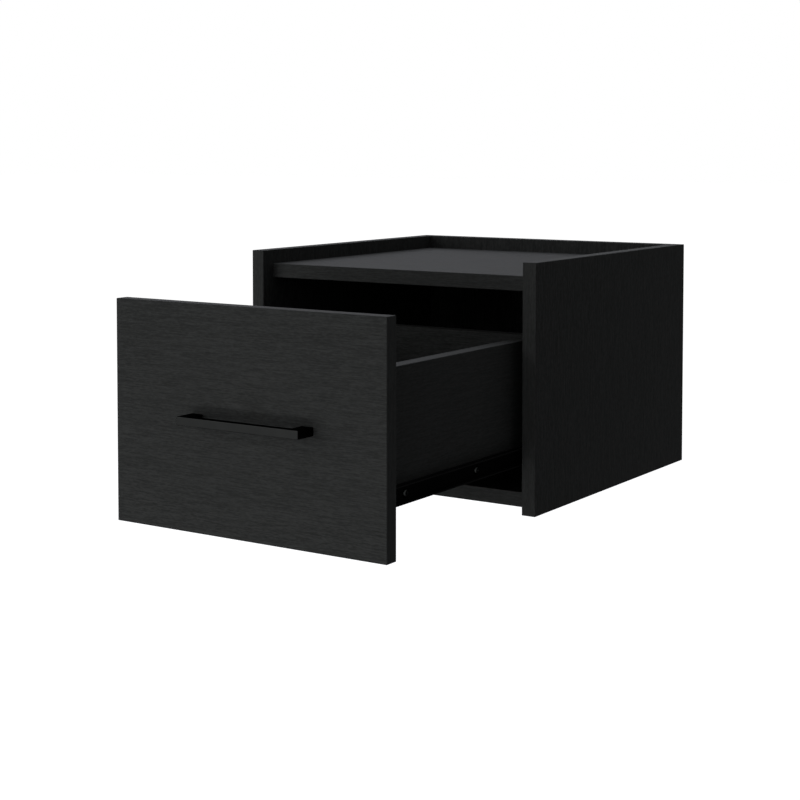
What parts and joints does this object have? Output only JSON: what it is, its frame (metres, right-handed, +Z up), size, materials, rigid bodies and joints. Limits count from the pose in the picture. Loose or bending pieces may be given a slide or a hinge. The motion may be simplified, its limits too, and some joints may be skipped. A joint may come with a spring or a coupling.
{
  "type": "floating nightstand",
  "caption": "Wall-hung nightstand: a board cabinet with a low gallery round its top and a drawer on ball-bearing slides, pulled by a slim bar handle.",
  "frame": {"origin": "centre of the back face, on the wall", "axes": "+Y into the wall, so the drawer opens towards -Y; +Z up; +X to the right of someone who faces the front"},
  "size_m": [0.35, 0.6135, 0.25],
  "materials": {
    "board_black": "matt black wood-grain melamine on particle board, edges banded in the same film",
    "drawer_base": "thin hardboard sheet with a black printed face",
    "handle_black": "matt black powder coat",
    "slide_black": "black electrophoretic coat on rolled steel",
    "ball_steel": "bright steel, lightly greased",
    "zinc_steel": "zinc plated",
    "screw_dark": "black nickel plated",
    "dowel_beech": "raw beech"
  },
  "bodies": {
    "cabinet": {"top_panel": "board_black", "bottom_panel": "board_black", "back_panel": "board_black", "side_panel_left": "board_black", "side_panel_right": "board_black", "cam_bolt_top_left": "zinc_steel", "cam_bolt_top_right": "zinc_steel", "cam_bolt_bottom_left": "zinc_steel", "cam_bolt_bottom_right": "zinc_steel", "cam_lock_top_left": "zinc_steel", "cam_lock_top_right": "zinc_steel", "cam_lock_bottom_left": "zinc_steel", "cam_lock_bottom_right": "zinc_steel", "dowel_top_left": "dowel_beech", "dowel_top_right": "dowel_beech", "dowel_bottom_left": "dowel_beech", "dowel_bottom_right": "dowel_beech", "dowel_back_lower_left": "dowel_beech", "dowel_back_lower_right": "dowel_beech", "dowel_back_upper_left": "dowel_beech", "dowel_back_upper_right": "dowel_beech", "hanger_plate_left": "zinc_steel", "hanger_plate_right": "zinc_steel", "hanger_screw_lower_left": "zinc_steel", "hanger_screw_lower_right": "zinc_steel", "hanger_screw_upper_left": "zinc_steel", "hanger_screw_upper_right": "zinc_steel", "slide_cabinet_channel_left": "slide_black", "slide_cabinet_channel_right": "slide_black", "cabinet_slide_screw_front_left": "screw_dark", "cabinet_slide_screw_front_right": "screw_dark", "cabinet_slide_screw_rear_left": "screw_dark", "cabinet_slide_screw_rear_right": "screw_dark"},
    "drawer": {"drawer_front": "board_black", "drawer_back": "board_black", "drawer_base": "drawer_base", "drawer_side_left": "board_black", "drawer_side_right": "board_black", "handle": "handle_black", "handle_screw_left": "screw_dark", "handle_screw_right": "screw_dark", "cam_bolt_drawer_left": "zinc_steel", "cam_bolt_drawer_right": "zinc_steel", "cam_lock_drawer_left": "zinc_steel", "cam_lock_drawer_right": "zinc_steel", "dowel_drawer_front_left": "dowel_beech", "dowel_drawer_front_right": "dowel_beech", "dowel_drawer_back_left": "dowel_beech", "dowel_drawer_back_right": "dowel_beech", "slide_drawer_channel_left": "slide_black", "slide_drawer_channel_right": "slide_black", "drawer_slide_screw_front_left": "screw_dark", "drawer_slide_screw_front_right": "screw_dark", "drawer_slide_screw_middle_left": "screw_dark", "drawer_slide_screw_middle_right": "screw_dark", "drawer_slide_screw_rear_left": "screw_dark", "drawer_slide_screw_rear_right": "screw_dark"},
    "ball_cage_left": {"ball_cage_left": "ball_steel"},
    "ball_cage_right": {"ball_cage_right": "ball_steel"}
  },
  "joints": [
    {"name": "drawer_slide", "type": "slide", "parent": "cabinet", "child": "drawer", "axis": [0, 1, 0], "range_m": [0, 0.235]},
    {"name": "ball_cage_slide_left", "type": "slide", "parent": "cabinet", "child": "ball_cage_left", "axis": [0, 1, 0], "range_m": [0, 0.1175]},
    {"name": "ball_cage_slide_right", "type": "slide", "parent": "cabinet", "child": "ball_cage_right", "axis": [0, 1, 0], "range_m": [0, 0.1175]}
  ],
  "couplings": [
    {"joint": "ball_cage_slide_left", "follows": "drawer_slide", "ratio": 0.5},
    {"joint": "ball_cage_slide_right", "follows": "drawer_slide", "ratio": 0.5}
  ]
}
